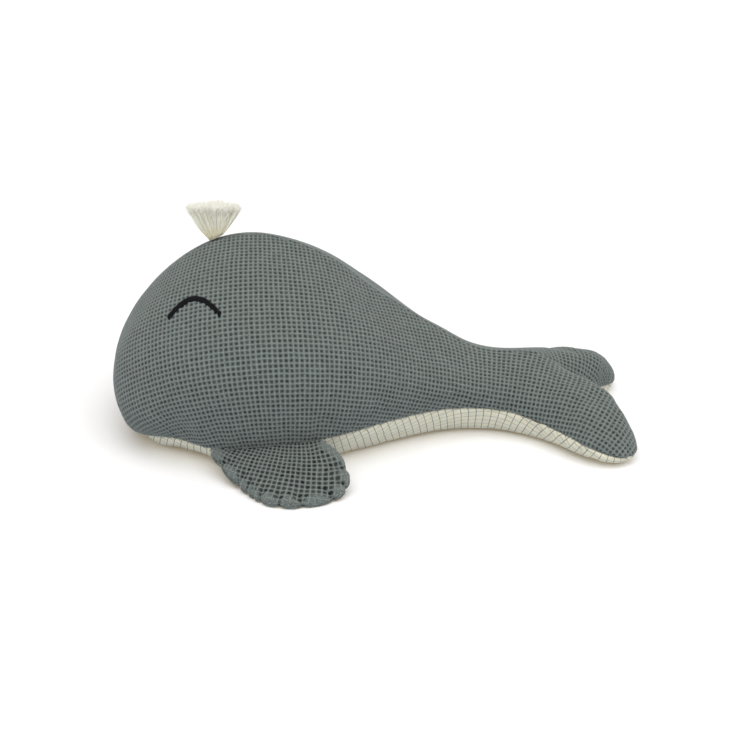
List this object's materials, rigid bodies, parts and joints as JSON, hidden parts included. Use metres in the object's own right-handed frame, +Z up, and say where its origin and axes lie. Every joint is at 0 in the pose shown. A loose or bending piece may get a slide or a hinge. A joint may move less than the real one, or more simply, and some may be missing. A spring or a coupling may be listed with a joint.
{
  "type": "plush whale",
  "caption": "Stuffed toy whale with waffle-cloth back, checked belly, padded side fins, bending tail and a cotton tassel on the head.",
  "frame": {"origin": "on the floor, under the middle of the box that holds the whale", "axes": "+X from the nose to the tail, +Y to the whale's right side, +Z up"},
  "size_m": [0.4183, 0.3096, 0.1926],
  "materials": {
    "waffle_cotton": "grey-green waffle weave, matt",
    "checked_cotton": "cream cotton with a thin grey-blue windowpane check, matt",
    "polyester_filling": "loose white fibre, hidden inside",
    "sewing_thread": "grey-green thread",
    "embroidery_thread": "black cotton thread, slight sheen",
    "tassel_yarn": "ivory cotton yarn"
  },
  "bodies": {
    "body": {"body_filling": "polyester_filling", "back_panel_left": "waffle_cotton", "back_panel_right": "waffle_cotton", "belly_panel": "checked_cotton", "back_seam": "sewing_thread", "belly_seam_left": "sewing_thread", "belly_seam_right": "sewing_thread", "eye_left": "embroidery_thread", "eye_right": "embroidery_thread"},
    "tail": {"tail_filling": "polyester_filling"},
    "fin_left": {"fin_upper_left": "waffle_cotton", "fin_lower_left": "waffle_cotton", "fin_wadding_left": "polyester_filling"},
    "fin_right": {"fin_upper_right": "waffle_cotton", "fin_lower_right": "waffle_cotton", "fin_wadding_right": "polyester_filling"},
    "tassel": {"tassel": "tassel_yarn"}
  },
  "joints": [
    {"name": "tail_bend", "type": "hinge", "parent": "body", "child": "tail", "pos_m": [0.094, 0, 0.03075], "axis": [0, -1, 0], "range_deg": [-20, 30], "stiffness_Nm_per_rad": 1, "deforming": ["back_panel_left", "back_panel_right", "belly_panel", "back_seam", "belly_seam_left", "belly_seam_right"]},
    {"name": "fin_left_flap", "type": "hinge", "parent": "body", "child": "fin_left", "pos_m": [-0.07921, -0.10478, 0.02582], "axis": [-1, 0, 0], "range_deg": [-30, 95], "stiffness_Nm_per_rad": 0.02, "deforming": ["fin_upper_left", "fin_lower_left"]},
    {"name": "fin_right_flap", "type": "hinge", "parent": "body", "child": "fin_right", "pos_m": [-0.07921, 0.10478, 0.02582], "axis": [1, 0, 0], "range_deg": [-30, 95], "stiffness_Nm_per_rad": 0.02, "deforming": ["fin_upper_right", "fin_lower_right"]},
    {"name": "tassel_sway", "type": "hinge", "parent": "body", "child": "tassel", "pos_m": [-0.12285, 0, 0.16148], "axis": [1, 0, 0], "range_deg": [-60, 60], "stiffness_Nm_per_rad": 0.0002}
  ]
}
